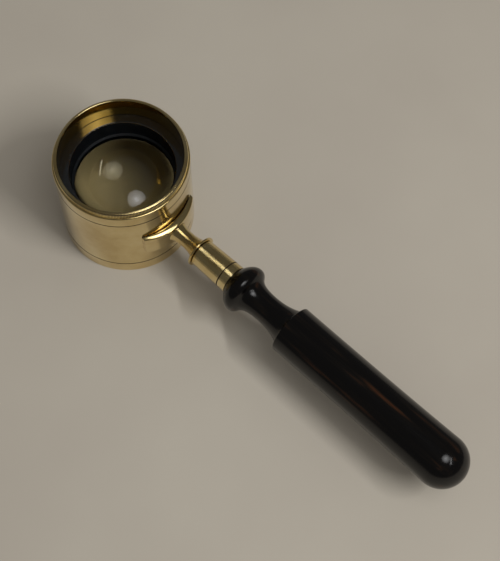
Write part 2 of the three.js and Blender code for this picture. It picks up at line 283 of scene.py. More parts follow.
# %% Brass
GRAIN_SCALE = 5 * PER_MM
GRAIN_DEPTH = 0.02 * MM
MARKS_SCALE = 4 * PER_MM
WAVE_UNIT = math.pi / 10
MARK_DEPTH = 0.03 * MM
PATCHES_SCALE = 0.06 * PER_MM
PATCH_SHARES = (0.36, 0.56, 0.72)
POLISHED = (0.15, 0.08)
SATIN = (0.4, 0.3)


def polished_brass(name, squeeze, tones, coat, gloss_range=POLISHED, turning=0.0, metallic=1.0):
    """squeeze is the share of the grain's fineness along each axis, tones the patches' colours, gloss_range
    the roughness of dull and bright patches, and turning the depth of the tool marks round the X axis."""
    material, tree, output, place = new_material(name)
    stretched = add_node(tree, "ShaderNodeMapping", {"Vector": place, "Scale": squeeze})
    grain = add_node(tree, "ShaderNodeTexNoise", {
        "Vector": stretched.outputs["Vector"], "Scale": GRAIN_SCALE, "Detail": 2.0, "Roughness": 0.6})
    patches = add_node(tree, "ShaderNodeTexNoise", {
        "Vector": place, "Scale": PATCHES_SCALE, "Detail": 5.0, "Roughness": 0.62})
    tone = add_node(tree, "ShaderNodeValToRGB", {"Fac": patches.outputs["Fac"]}, zip(PATCH_SHARES, tones))
    gloss = add_node(tree, "ShaderNodeMapRange", {
        "Value": patches.outputs["Fac"], "From Min": 0.3, "From Max": 0.7, "To Min": gloss_range[0],
        "To Max": gloss_range[1]})
    scaled = add_node(tree, "ShaderNodeMapRange", {
        "Value": grain.outputs["Fac"], "From Min": 0.3, "From Max": 0.7, "To Min": 0.85, "To Max": 1.2})
    rough = add_node(tree, "ShaderNodeMath", {
        0: gloss.outputs["Result"], 1: scaled.outputs["Result"]}, operation='MULTIPLY')
    bump = add_node(tree, "ShaderNodeBump", {
        "Height": grain.outputs["Fac"], "Strength": 0.12, "Distance": GRAIN_DEPTH})
    if turning:
        marks = add_node(tree, "ShaderNodeTexWave", {
            "Vector": place, "Scale": MARKS_SCALE * WAVE_UNIT, "Distortion": 0.0}, bands_direction='X')
        bump = add_node(tree, "ShaderNodeBump", {
            "Height": marks.outputs["Fac"], "Strength": 1.0, "Distance": turning,
            "Normal": bump.outputs["Normal"]})
    shader = add_node(tree, "ShaderNodeBsdfPrincipled", {
        "Base Color": tone.outputs["Color"], "Metallic": metallic, "Roughness": rough.outputs["Value"],
        "Normal": bump.outputs["Normal"], "Coat Weight": coat, "Coat Roughness": 0.08})
    tree.links.new(shader.outputs["BSDF"], output.inputs["Surface"])
    return material


HANDLED = ("#D4BA7B", "#E7D197", "#EEDCAA")
GOLD_LACQUERED = ("#DBA73C", "#EDBD4E", "#F5CB62")
LEVEL_GRAIN = (0.02, 0.02, 1.0)
RING_GRAIN = (1.0, 0.02, 0.02)
drum_brass = polished_brass("brass_polished_level_grain", LEVEL_GRAIN, HANDLED, 0.45)
handle_brass = polished_brass("brass_turned_ring_grain", RING_GRAIN, HANDLED, 0.25, turning=MARK_DEPTH)
bead_brass = polished_brass("brass_milled_satin", LEVEL_GRAIN, HANDLED, 0.0, SATIN, metallic=0.6)
inner_brass = polished_brass("brass_under_gold_lacquer", LEVEL_GRAIN, GOLD_LACQUERED, 0.0)

# %% [markdown]
# ## Old polish in the cuts
# Scribed lines and the gaps between milled teeth fill with dried polish and dirt that no cloth reaches.
# It is a dark brown wax on the brass, nearly matt, so the cuts read as thin dark lines. It lies in crumbs
# of about half a millimetre, some a little paler. The filling could be rings of its own. A second finish
# on the faces of a cut looks the same and adds no piece.

# %% Dirt in the cuts
DIRT_SCALE = 2 * PER_MM


def packed_dirt():
    material, tree, output, place = new_material("old_polish_in_cuts")
    specks = add_node(tree, "ShaderNodeTexNoise", {
        "Vector": place, "Scale": DIRT_SCALE, "Detail": 3.0})
    tone = add_node(tree, "ShaderNodeValToRGB", {"Fac": specks.outputs["Fac"]},
                    [(0.35, "#1C140A"), (0.7, "#3E2F17")])
    shader = add_node(tree, "ShaderNodeBsdfPrincipled", {
        "Base Color": tone.outputs["Color"], "Metallic": 0.35, "Roughness": 0.55})
    tree.links.new(shader.outputs["BSDF"], output.inputs["Surface"])
    return material


cut_dirt = packed_dirt()

# %% [markdown]
# ## Black lacquer
# The cell and its ring are brass tubes under baked black lacquer, put there to swallow stray light. It is
# blue-black, and it is in two states. On the level ledge, where fingers rub it, it shines enough to show
# the gold wall beside it. In the bore it is as dull as it was brushed on. Brushing leaves faint ridges
# about half a millimetre apart, drawn coarser than a real brush would leave them so that they show at
# all, and dust settles as pale specks. One finish with a mask could hold both states, but two plain ones,
# given to faces by their place, are easier to change.

# %% Lacquer
BRUSH_RIDGES_SCALE = 1.8 * PER_MM
BRUSH_RIDGE_DEPTH = 0.02 * MM
DUST_SCALE = 1.4 * PER_MM


def black_lacquer(name, smoothest, roughest, relief, ior):
    material, tree, output, place = new_material(name)
    brushed = add_node(tree, "ShaderNodeMapping", {"Vector": place, "Scale": (0.08, 0.08, 1.0)})
    ridges = add_node(tree, "ShaderNodeTexNoise", {
        "Vector": brushed.outputs["Vector"], "Scale": BRUSH_RIDGES_SCALE, "Detail": 3.0})
    specks = add_node(tree, "ShaderNodeTexNoise", {
        "Vector": place, "Scale": DUST_SCALE, "Detail": 2.0})
    tone = add_node(tree, "ShaderNodeValToRGB", {"Fac": specks.outputs["Fac"]},
                    [(0.5, "#090B0D"), (0.7, "#12161A"), (0.8, "#34393D")])
    gloss = add_node(tree, "ShaderNodeMapRange", {
        "Value": specks.outputs["Fac"], "From Min": 0.3, "From Max": 0.75, "To Min": smoothest,
        "To Max": roughest})
    bump = add_node(tree, "ShaderNodeBump", {
        "Height": ridges.outputs["Fac"], "Strength": relief, "Distance": BRUSH_RIDGE_DEPTH})
    shader = add_node(tree, "ShaderNodeBsdfPrincipled", {
        "Base Color": tone.outputs["Color"], "Roughness": gloss.outputs["Result"],
        "Normal": bump.outputs["Normal"], "IOR": ior})
    tree.links.new(shader.outputs["BSDF"], output.inputs["Surface"])
    return material


rubbed_lacquer = black_lacquer("black_lacquer_rubbed", 0.08, 0.16, 0.06, 1.9)
dull_lacquer = black_lacquer("black_lacquer_dull", 0.5, 0.65, 0.3, 1.35)

# %% [markdown]
# ## Crown glass
# The lens is one piece of crown glass, ground and polished on both ends, so it has an IOR of 1.52 and no
# roughness that shows, only smears a centimetre wide. Its straw colour is partly the plain tint of an inch
# of old glass and partly painted shade: it darkens and browns the shaded table that is seen through the
# lens. The colour could be a volume that absorbs, which takes longer to render. It is put on the surface
# instead, so the thick middle is no deeper in colour. Its wall and the groove round its waist are rough
# from the grinding and painted black, because the groove is the stop that makes the picture sharp. Real
# pits are far finer than the quarter of a millimetre here, which is the least that would show.

# %% Glass and its blacked wall
SMEARS_SCALE = 0.09 * PER_MM
PITS_SCALE = 4 * PER_MM
PIT_DEPTH = 0.03 * MM


def straw_glass_and_painted_shade():
    material, tree, output, place = new_material("crown_glass_straw_and_painted_shade")
    smears = add_node(tree, "ShaderNodeTexNoise", {
        "Vector": place, "Scale": SMEARS_SCALE, "Detail": 3.0})
    haze = add_node(tree, "ShaderNodeMapRange", {
        "Value": smears.outputs["Fac"], "From Min": 0.35, "From Max": 0.75, "To Min": 0.0, "To Max": 0.012})
    # The straw base colour is partly the glass's own tint and partly painted shade that darkens the table
    # seen through it.
    shader = add_node(tree, "ShaderNodeBsdfPrincipled", {
        "Base Color": linear("#DCD5B9"), "Roughness": haze.outputs["Result"], "IOR": 1.52,
        "Transmission Weight": 1.0})
    tree.links.new(shader.outputs["BSDF"], output.inputs["Surface"])
    return material


def blacked_grinding():
    material, tree, output, place = new_material("ground_glass_blacked")
    pits = add_node(tree, "ShaderNodeTexNoise", {"Vector": place, "Scale": PITS_SCALE, "Detail": 2.0})
    tone = add_node(tree, "ShaderNodeValToRGB", {"Fac": pits.outputs["Fac"]},
                    [(0.4, "#0A0A0B"), (0.7, "#1B1A19")])
    bump = add_node(tree, "ShaderNodeBump", {
        "Height": pits.outputs["Fac"], "Strength": 0.4, "Distance": PIT_DEPTH})
    shader = add_node(tree, "ShaderNodeBsdfPrincipled", {
        "Base Color": tone.outputs["Color"], "Roughness": 0.7, "Normal": bump.outputs["Normal"]})
    tree.links.new(shader.outputs["BSDF"], output.inputs["Surface"])
    return material


glass = straw_glass_and_painted_shade()
blacking = blacked_grinding()

# %% [markdown]
# ## Ebony
# The handle is ebony, turned, oiled and waxed. The eye sees almost black wood with fine pores along the
# grain and, where the light catches, a few warm brown streaks some 2 mm wide and a few centimetres long.
# The grain runs along the handle, so the noise is drawn out along it. Real pores are about a tenth of a
# millimetre wide. They are drawn at 0.4, the least that shows. Wax gives a soft sheen, duller where the
# pores are open. A picture of wood could be projected from the side, but it would smear on the round end,
# where a solid noise doesn't.

# %% Wood
FIGURE_SCALE = 0.42 * PER_MM
PORES_SCALE = 2.6 * PER_MM
PORE_DEPTH = 0.02 * MM


def turned_ebony():
    material, tree, output, place = new_material("ebony_turned_waxed")
    along = add_node(tree, "ShaderNodeMapping", {"Vector": place, "Scale": (0.06, 1.0, 1.0)})
    figure = add_node(tree, "ShaderNodeTexNoise", {
        "Vector": along.outputs["Vector"], "Scale": FIGURE_SCALE, "Detail": 4.0, "Roughness": 0.55})
    streaks = add_node(tree, "ShaderNodeValToRGB", {"Fac": figure.outputs["Fac"]},
                       [(0.5, "#050404"), (0.6, "#0B0806"), (0.68, "#24150B"), (0.8, "#3E2010")])
    pores_map = add_node(tree, "ShaderNodeMapping", {"Vector": place, "Scale": (0.05, 1.0, 1.0)})
    pores = add_node(tree, "ShaderNodeTexNoise", {
        "Vector": pores_map.outputs["Vector"], "Scale": PORES_SCALE, "Detail": 2.0})
    gloss = add_node(tree, "ShaderNodeMapRange", {
        "Value": pores.outputs["Fac"], "From Min": 0.3, "From Max": 0.7, "To Min": 0.12, "To Max": 0.2})
    bump = add_node(tree, "ShaderNodeBump", {
        "Height": pores.outputs["Fac"], "Strength": 0.1, "Distance": PORE_DEPTH})
    shader = add_node(tree, "ShaderNodeBsdfPrincipled", {
        "Base Color": streaks.outputs["Color"], "Roughness": gloss.outputs["Result"],
        "Normal": bump.outputs["Normal"], "IOR": 1.45})
    tree.links.new(shader.outputs["BSDF"], output.inputs["Surface"])
    return material


ebony = turned_ebony()

# %% [markdown]
# ## The barrel
# The barrel is a length of brass tube, faced at both ends, its top edge softly rounded, with a line
# scribed near each end. Its outline is the wall's section, and the two lines are vees in it. The lines
# could be cut later with a Boolean, but in the outline they come with the spin and leave no odd faces.

# %% Barrel
LINE_WIDTH = 0.5 * MM
LINE_DEPTH = 0.22 * MM
LINE_FROM_TOP = 5.3 * MM
LINE_FROM_FOOT = 5.8 * MM
BARREL_EDGE = 0.6 * MM
FOOT_EDGE = 0.3 * MM
BORE_EDGE = 0.15 * MM
DRUM_STEPS = 256


def scribed(radius, place, width=LINE_WIDTH, depth=LINE_DEPTH):
    return [(radius, place - width / 2, 0), (radius - depth, place, 0), (radius, place + width / 2, 0)]


def dress(piece, *materials):
    piece.data.materials.clear()
    for material in materials:
        piece.data.materials.append(material)


def dirty_cuts(piece, inside):
    """Gives the second material to the faces whose centres lie in a cut."""
    for face in piece.data.polygons:
        face.material_index = 1 if inside(face.center) else 0


def from_drum_axis(place):
    return math.hypot(place.x - DRUM_X, place.y)


barrel = turned("barrel_tube", [
    (BARREL_BORE, 0, BORE_EDGE),
    (BARREL_RADIUS, 0, FOOT_EDGE),
    *scribed(BARREL_RADIUS, LINE_FROM_FOOT),
    *scribed(BARREL_RADIUS, BARREL_TOP - LINE_FROM_TOP),
    (BARREL_RADIUS, BARREL_TOP, BARREL_EDGE),
    (BARREL_BORE, BARREL_TOP, BORE_EDGE),
], UP, DRUM_FOOT, DRUM_STEPS)
dress(barrel, drum_brass, cut_dirt)
line_heights = (LINE_FROM_FOOT, BARREL_TOP - LINE_FROM_TOP)
dirty_cuts(barrel, lambda c: any(abs(c.z - h) < LINE_WIDTH / 2 for h in line_heights)
           and from_drum_axis(c) > BARREL_BORE + LINE_DEPTH)
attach(barrel, "drum")
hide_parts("barrel")

# %% [markdown]
# ## The milled screw ring
# The ring screws into the barrel's mouth. Its bead is milled all round for the fingers, 290 teeth about
# half a millimetre apart. A Boolean could cut the gaps, but it would be slow and leave long thin faces,
# so a tooth is modelled once: the ring's whole outline is spun through one tooth's width in four steps,
# the columns in the middle are pulled out to the tooth's crest, less and less over the rounded shoulder,
# and that slice is then spun round as copies and merged. The spin operator turns clockwise about an axis
# that points up, so the columns are found at negative angles. Four finishes share the ring, and each face
# gets its own by its distance from the axis: dirt in the valleys, satin on the crests, gold lacquer on
# the inner wall, and polish everywhere else.

# %% Milled ring
TOOTH_COUNT = 290
TOOTH_DEPTH = 0.32 * MM
BEAD_SETBACK = 0.65 * MM
BEAD_RADIUS = BARREL_RADIUS - BEAD_SETBACK
BEAD_HEIGHT = 1.9 * MM
BEAD_ROUND = 0.6 * MM
SKIRT_WALL = 0.85 * MM
SEAT_GAP = 0.2 * MM
SKIRT_BORE = SLEEVE_RADIUS - SKIRT_WALL
SKIRT_FOOT = ring_low.z
BEAD_SEAT = BARREL_TOP + SEAT_GAP
BEAD_TOP = BEAD_SEAT + BEAD_HEIGHT
VALLEY_RADIUS = BEAD_RADIUS - TOOTH_DEPTH
BROKEN_EDGE = 0.1 * MM
LIP_START = math.radians(30)
LIP_STEPS = 6
BEAD_ROUND_STEPS = 5
COLUMN_SHARES = (0.6, 1.0, 0.6)
TOOTH_STEPS = len(COLUMN_SHARES) + 1
CREST_SHARE = 0.4
SKIN = 0.02 * MM


def milled_ring():
    lip_round = SKIRT_WALL / 2
    lip_centre = (SKIRT_BORE + lip_round, ring_high.z - lip_round)
    shoulder = arc((VALLEY_RADIUS - BEAD_ROUND, BEAD_TOP - BEAD_ROUND), BEAD_ROUND, 0, math.pi / 2,
                   BEAD_ROUND_STEPS)
    outline = [
        (SKIRT_BORE, SKIRT_FOOT, BROKEN_EDGE), (SLEEVE_RADIUS, SKIRT_FOOT, BROKEN_EDGE),
        (SLEEVE_RADIUS, BEAD_SEAT, 0), (VALLEY_RADIUS, BEAD_SEAT, 0), *shoulder,
        *arc(lip_centre, lip_round, LIP_START, math.pi, LIP_STEPS),
    ]
    piece = draw_outline("screw_ring_milled", outline, UP, DRUM_FOOT)
    pitch = 2 * math.pi / TOOTH_COUNT
    bpy.ops.mesh.select_all(action='SELECT')
    bpy.ops.mesh.spin(steps=TOOTH_STEPS, angle=pitch, center=DRUM_FOOT, axis=UP)
    pulled_out = 0
    for column, share in enumerate(COLUMN_SHARES, start=1):
        outward = Matrix.Rotation(-pitch * column / TOOTH_STEPS, 4, UP) @ ALONG
        for radius, height, *_ in [outline[3], *shoulder]:
            reach = max(0.0, 1 - max(0.0, height - (BEAD_TOP - BEAD_ROUND)) / BEAD_ROUND)
            spot = DRUM_FOOT + outward * radius + UP * height
            if reach and select_where(piece, lambda co: (co - spot).length < SAME_PLACE):
                bpy.ops.transform.translate(value=outward * TOOTH_DEPTH * share * reach)
                pulled_out += 1
    print("corners of a tooth pulled out", pulled_out)
    bpy.ops.mesh.select_all(action='SELECT')
    bpy.ops.mesh.spin(steps=TOOTH_COUNT, angle=2 * math.pi, center=DRUM_FOOT, axis=UP, dupli=True)
    bpy.ops.mesh.select_all(action='SELECT')
    bpy.ops.mesh.remove_doubles(threshold=SAME_PLACE)
    bpy.ops.mesh.normals_make_consistent(inside=False)
    bpy.ops.object.mode_set(mode='OBJECT')
    smooth(piece)
    return piece


screw_ring = milled_ring()
dress(screw_ring, drum_brass, cut_dirt, inner_brass, bead_brass)
crest_start = VALLEY_RADIUS + CREST_SHARE * TOOTH_DEPTH
dirty_cuts(screw_ring, lambda c: BEAD_SEAT < c.z < BEAD_TOP - BEAD_ROUND / 2
           and SLEEVE_RADIUS < from_drum_axis(c) < crest_start)
for face in screw_ring.data.polygons:
    reach = from_drum_axis(face.center)
    if reach < SKIRT_BORE + SKIN:
        face.material_index = 2
    elif reach > crest_start:
        face.material_index = 3
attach(screw_ring, "screw_ring")
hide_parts("milled_ring")

# %% [markdown]
# ## The foot ring
# The plain ring in the barrel's foot is what the cell seats on. Two notches across its edge take a
# spanner. They are cut with a Boolean modifier and a bar, which is how a slotting saw makes them.

# %% Foot ring
foot_low, foot_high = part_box("base_ring")
NOTCH_WIDTH = 2.0 * MM
NOTCH_DEPTH = 1.6 * MM
FOOT_RING_EDGE = 0.12 * MM
FOOT_BORE = SLEEVE_RADIUS - SKIRT_WALL


def cut_with(piece, tool, operation='DIFFERENCE'):
    """Applies a Boolean with a tool, then throws the tool away."""
    bpy.ops.object.select_all(action='DESELECT')
    apply_modifier(piece, 'BOOLEAN', object=tool, operation=operation, solver='EXACT')
    bpy.data.objects.remove(tool)


foot_ring = turned("foot_ring_notched", [
    (FOOT_BORE, foot_low.z, FOOT_RING_EDGE),
    (SLEEVE_RADIUS, foot_low.z, FOOT_RING_EDGE),
    (SLEEVE_RADIUS, foot_high.z, FOOT_RING_EDGE),
    (FOOT_BORE, foot_high.z, FOOT_RING_EDGE),
], UP, DRUM_FOOT, DRUM_STEPS)
bpy.ops.object.select_all(action='DESELECT')
bpy.ops.mesh.primitive_cube_add(size=1, location=(DRUM_X, 0, foot_low.z),
                                scale=(2 * BARREL_RADIUS, NOTCH_WIDTH, 2 * NOTCH_DEPTH))
cut_with(foot_ring, bpy.context.object)
dress(foot_ring, inner_brass)
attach(foot_ring, "drum")
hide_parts("base_ring")

# %% [markdown]
# ## The cell
# The cell is a black tube with a lip at the bottom that the glass lies on. It slides in the barrel on two
# short lands, and between them it is turned down. It could be several tubes joined, but one outline drawn
# all round holds lip, lands and relief. Use has worn the lacquer off its sharp inner edge, so a hair-thin
# ring of bare brass runs round it. The glass's two radii come first, because the lip has the curve of the
# glass that lies on it.

# %% Cell
lens_low, lens_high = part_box("lens")
CELL_WALL = 4.3 * MM
CELL_EDGE = 0.3 * MM
RELIEF_DEPTH = 1.2 * MM
LAND_LENGTH = 5.0 * MM
LIP_EDGE = 0.4 * MM
LIP_ROOT = 1.6 * MM
FRONT_RADIUS = 28.0 * MM
BACK_RADIUS = 36.0 * MM
RING_WIDTH = 1.1 * MM
RING_RIM = 1.8 * MM
RING_EDGE = 0.3 * MM
LEDGE_SKIN = 0.12 * MM
WORN_SHARE = 1.2
CELL_BORE = SLEEVE_RADIUS - CELL_WALL
GLASS_RADIUS = CELL_BORE - THREAD_GAP
APERTURE = CELL_BORE - RING_WIDTH
front_centre = lens_high.z - FRONT_RADIUS
back_centre = lens_low.z + BACK_RADIUS


def front_height(radius, clearance=0.0):
    return front_centre + math.sqrt((FRONT_RADIUS + clearance) ** 2 - radius ** 2)


def back_height(radius, clearance=0.0):
    return back_centre - math.sqrt((BACK_RADIUS + clearance) ** 2 - radius ** 2)


def face_stretch(height, start, end, clearance, steps):
    radii = [start + (end - start) * step / steps for step in range(steps + 1)]
    return [(radius, height(radius, clearance)) for radius in radii]


lip_root = back_height(CELL_BORE, SEAT_GAP)
lip_edge = back_height(APERTURE, SEAT_GAP)
relief_foot = cell_low.z + LAND_LENGTH
relief_top = cell_high.z - LAND_LENGTH
cell = turned("lens_cell_tube", [
    (CELL_BORE + CELL_EDGE, cell_low.z, 0),
    (SLEEVE_RADIUS, cell_low.z, BROKEN_EDGE),
    (SLEEVE_RADIUS, relief_foot, 0),
    (SLEEVE_RADIUS - RELIEF_DEPTH, relief_foot + RELIEF_DEPTH, 0),
    (SLEEVE_RADIUS - RELIEF_DEPTH, relief_top - RELIEF_DEPTH, 0),
    (SLEEVE_RADIUS, relief_top, 0),
    (SLEEVE_RADIUS, cell_high.z, BROKEN_EDGE),
    (CELL_BORE + CELL_EDGE, cell_high.z, BROKEN_EDGE),
    (CELL_BORE, cell_high.z - CELL_EDGE, BROKEN_EDGE),
    (CELL_BORE, lip_root, 0),
    (APERTURE, lip_edge, 0),
    (APERTURE, lip_edge - LIP_EDGE, 0),
    (CELL_BORE, lip_root - LIP_ROOT, 0),
    (CELL_BORE, cell_low.z + CELL_EDGE, 0),
], UP, DRUM_FOOT, DRUM_STEPS)
dress(cell, dull_lacquer, rubbed_lacquer, drum_brass)
worn_reach = CELL_BORE + CELL_EDGE / 3
for face in cell.data.polygons:
    reach, depth = from_drum_axis(face.center), cell_high.z - face.center.z
    if reach > CELL_BORE + CELL_EDGE and depth < LEDGE_SKIN:
        face.material_index = 1
    elif reach > worn_reach and depth < CELL_EDGE:
        face.material_index = 1
    elif reach < worn_reach and depth < WORN_SHARE * CELL_EDGE:
        face.material_index = 2
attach(cell, "optic")
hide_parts("lens_cell")

# %% [markdown]
# ## The retaining ring
# The ring screws down on the glass from above. Its underside has the glass's own curve, and it is thin at
# its inner edge, so its top dips a little towards the middle. A flat washer would be simpler, but it
# would touch the glass only at its inner edge.

# %% Retaining ring
RETAINER_EDGE = 0.15 * MM
RETAINER_LIP_EDGE = 0.08 * MM
UNDERSIDE_STEPS = 8

underside = face_stretch(front_height, APERTURE, CELL_BORE - THREAD_GAP, SEAT_GAP, UNDERSIDE_STEPS)
retainer = turned("retaining_ring_dished", [
    *underside,
    (CELL_BORE - THREAD_GAP, underside[-1][1] + RING_RIM, RETAINER_EDGE),
    (APERTURE, underside[0][1] + RING_EDGE, RETAINER_LIP_EDGE),
], UP, DRUM_FOOT, DRUM_STEPS)
dress(retainer, dull_lacquer)
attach(retainer, "optic")
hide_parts("retaining_ring")

# %% [markdown]
# ## The glass
# The glass is a stubby rod with a dome on each end, the lower one flatter, and a groove ground round its
# waist. It is turned like the rest, but with far more rings on the domes, because a lens bends light by
# its surface and facets would show through it. Two spheres and a cylinder could be intersected, but the
# outline puts the rims exactly where the domes meet the wall. The faces of wall and groove get the
# blacking.

# %% Glass
GROOVE_WIDTH = 2.6 * MM
GROOVE_DEPTH = 2.6 * MM
GROOVE_STEPS = 8
FACE_RINGS = 40
GLASS_STEPS = 192

groove_round = GROOVE_WIDTH / 2
wall_foot = back_height(GLASS_RADIUS)
wall_top = front_height(GLASS_RADIUS)
waist_height = (wall_foot + wall_top) / 2
lens = turned("lens_one_piece", [
    *face_stretch(back_height, 0.0, GLASS_RADIUS, 0.0, FACE_RINGS),
    (GLASS_RADIUS, waist_height - groove_round),
    *arc((GLASS_RADIUS - GROOVE_DEPTH + groove_round, waist_height), groove_round,
         -math.pi / 2, -1.5 * math.pi, GROOVE_STEPS),
    (GLASS_RADIUS, waist_height + groove_round),
    *face_stretch(front_height, GLASS_RADIUS, 0.0, 0.0, FACE_RINGS),
], UP, DRUM_FOOT, GLASS_STEPS, closed=False)
dress(lens, glass, blacking)


def on_wall(place):
    """True on the wall and in the groove, which lie between the two faces' rims."""
    radius = from_drum_axis(place)
    return (back_height(radius) + 10 * SAME_PLACE < place.z < front_height(radius) - 10 * SAME_PLACE
            and radius > GLASS_RADIUS - GROOVE_DEPTH - SAME_PLACE)


dirty_cuts(lens, on_wall)
print("wall and groove faces", sum(face.material_index for face in lens.data.polygons))
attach(lens, "optic")
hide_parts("lens")

# %% [markdown]
# ## The saddle
# The saddle spreads the handle's pull over the barrel's wall. From above it is a crescent: hollowed to
# the barrel on one side, rounded to a tighter arc on the other, and its top falls away gently to the
# front, which catches the lamp. It is made as a turner would make it: a disc with a domed rim, bored out
# eccentrically by the barrel's own circle, the mouth of the bore eased, and the thin tips cut off square.
# The two Boolean cuts leave edges that fade away towards the tips, as filed edges do. An extruded
# crescent would give the plan, but not the fall of its top.

# %% Saddle
SOLDER_GAP = 0.15 * MM
SADDLE_EDGE = 0.4 * MM
DOME_RADIUS = 4.0 * MM
DOME_TILT = math.radians(38)
DOME_STEPS = 10
SADDLE_HALF = (saddle_high.y - saddle_low.y) / 2
SADDLE_SEAT = BARREL_RADIUS + SOLDER_GAP
SEAT_EASE = 0.5 * MM
EASE_STEPS = 5
SADDLE_TIP_THICKNESS = 1.5 * MM
SADDLE_TRIM = 0.6 * MM
saddle_front = saddle_high.x - DRUM_X
saddle_face = saddle_front - SADDLE_TRIM
saddle_tip = math.sqrt(SADDLE_SEAT ** 2 - SADDLE_HALF ** 2) + SADDLE_TIP_THICKNESS
saddle_rise = saddle_face - saddle_tip
SADDLE_FACE_RADIUS = (SADDLE_HALF ** 2 + saddle_rise ** 2) / (2 * saddle_rise)
FACE_CENTRE = Vector((DRUM_X + saddle_face - SADDLE_FACE_RADIUS, 0, 0))


def saddle_block():
    foot, top = saddle_low.z, saddle_high.z
    dome_start = SADDLE_FACE_RADIUS - DOME_RADIUS * math.sin(DOME_TILT)
    dome_rim = top - DOME_RADIUS * (1 - math.cos(DOME_TILT))
    block = draw_outline("saddle_crescent", [
        (0, foot), (SADDLE_FACE_RADIUS, foot, SADDLE_EDGE), (SADDLE_FACE_RADIUS, dome_rim, SADDLE_EDGE),
        *arc((dome_start, top - DOME_RADIUS), DOME_RADIUS, math.pi / 2 - DOME_TILT, math.pi / 2,
             DOME_STEPS)[1:],
        (0, top),
    ], UP, FACE_CENTRE, closed=False)
    spin_round(block, UP, FACE_CENTRE, DRUM_STEPS)
    beyond = DOME_RADIUS
    bore = draw_outline("bore_tool", [
        (0, foot - beyond), (SADDLE_SEAT + SEAT_EASE, foot - beyond),
        *arc((SADDLE_SEAT + SEAT_EASE, foot + SEAT_EASE), SEAT_EASE, 1.5 * math.pi, math.pi, EASE_STEPS),
        *arc((SADDLE_SEAT + SEAT_EASE, top - SEAT_EASE), SEAT_EASE, math.pi, math.pi / 2, EASE_STEPS),
        (SADDLE_SEAT + SEAT_EASE, top + beyond), (0, top + beyond),
    ], UP, DRUM_FOOT, closed=False)
    spin_round(bore, UP, DRUM_FOOT, DRUM_STEPS)
    cut_with(block, bore)
    bpy.ops.object.select_all(action='DESELECT')
    bpy.ops.mesh.primitive_cube_add(size=1, location=(saddle_high.x, 0, (foot + top) / 2),
                                    scale=(BARREL_RADIUS, 2 * SADDLE_HALF, 2 * (top - foot)))
    cut_with(block, bpy.context.object, 'INTERSECT')
    smooth(block)
    return block


saddle = saddle_block()
dress(saddle, drum_brass)
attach(saddle, "drum")
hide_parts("saddle")

# %% [markdown]
# ## The stem
# The stem is turned in one piece: a root that flares onto the saddle, a waist, a second flare into a thin
# collar, and behind the collar the screw that holds the handle. These could be modelled apart and joined,
# but one outline keeps them on one axis, as one bar in the lathe does. Its root is hollowed with the
# saddle's own cylinder, so that it sits down on the curved face all round.

# %% Stem
ROOT_RADIUS = 5.1 * MM
ROOT_SINK = 0.9 * MM
NECK_RADIUS = 3.1 * MM
ROOT_FLARE = 4.4 * MM
NECK_LENGTH = 0.8 * MM
COLLAR_FLARE = 6.2 * MM
COLLAR_RADIUS = 6.3 * MM
COLLAR_LEDGE = 0.9 * MM
COLLAR_THICKNESS = 0.8 * MM
COLLAR_EDGE = 0.25 * MM
SPIGOT_RADIUS = 2.6 * MM
SPIGOT_EDGE = 0.4 * MM
FLARE_STEPS = 14
neck_start = saddle_front - ROOT_SINK + ROOT_FLARE
neck_end = neck_start + NECK_LENGTH
collar_front = neck_end + COLLAR_FLARE
collar_back = collar_front + COLLAR_THICKNESS
spigot_end = stem_high.x - DRUM_X
HANDLE_STEPS = 160

stem = turned("stem_turned", [
    (0, BARREL_RADIUS),
    (ROOT_RADIUS, BARREL_RADIUS),
    *quarter((ROOT_RADIUS, neck_start - ROOT_FLARE - SADDLE_TRIM), (NECK_RADIUS, neck_start), False,
             FLARE_STEPS),
    *quarter((NECK_RADIUS, neck_end), (COLLAR_RADIUS - COLLAR_LEDGE, collar_front), True, FLARE_STEPS),
    (COLLAR_RADIUS, collar_front, COLLAR_EDGE),
    (COLLAR_RADIUS, collar_back, COLLAR_EDGE),
    (SPIGOT_RADIUS, collar_back, 0),
    (SPIGOT_RADIUS, spigot_end, SPIGOT_EDGE),
    (0, spigot_end),
], ALONG, HANDLE_ROOT, HANDLE_STEPS, closed=False)
bpy.ops.object.select_all(action='DESELECT')
bpy.ops.mesh.primitive_cylinder_add(vertices=DRUM_STEPS, radius=SADDLE_FACE_RADIUS + SOLDER_GAP / 2,
                                    depth=2 * BARREL_TOP, location=FACE_CENTRE)
cut_with(stem, bpy.context.object)
dress(stem, handle_brass)
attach(stem, "drum")
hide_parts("stem")

# %% [markdown]
# ## The ferrule
# The ferrule is a short brass tube, a hair wider at the wood, with a line scribed near its back edge. A
# plain cylinder would do from afar. The outline adds the wall, the line and the broken edges that catch
# the lamp.

# %% Ferrule
FERRULE_WALL = 0.8 * MM
FERRULE_FRONT = 5.35 * MM
FERRULE_BACK = 5.75 * MM
FERRULE_EDGE = 0.25 * MM
FERRULE_LINE = 3.6 * MM
FERRULE_LINE_WIDTH = 0.5 * MM
FERRULE_LINE_DEPTH = 0.25 * MM
ferrule_start = ferrule_low.x - DRUM_X
ferrule_end = ferrule_high.x - DRUM_X
line_place = ferrule_end - FERRULE_LINE
line_share = (line_place - ferrule_start) / (ferrule_end - ferrule_start)
line_radius = FERRULE_FRONT + (FERRULE_BACK - FERRULE_FRONT) * line_share


def from_handle_axis(place):
    return math.hypot(place.y, place.z - HANDLE_Z)


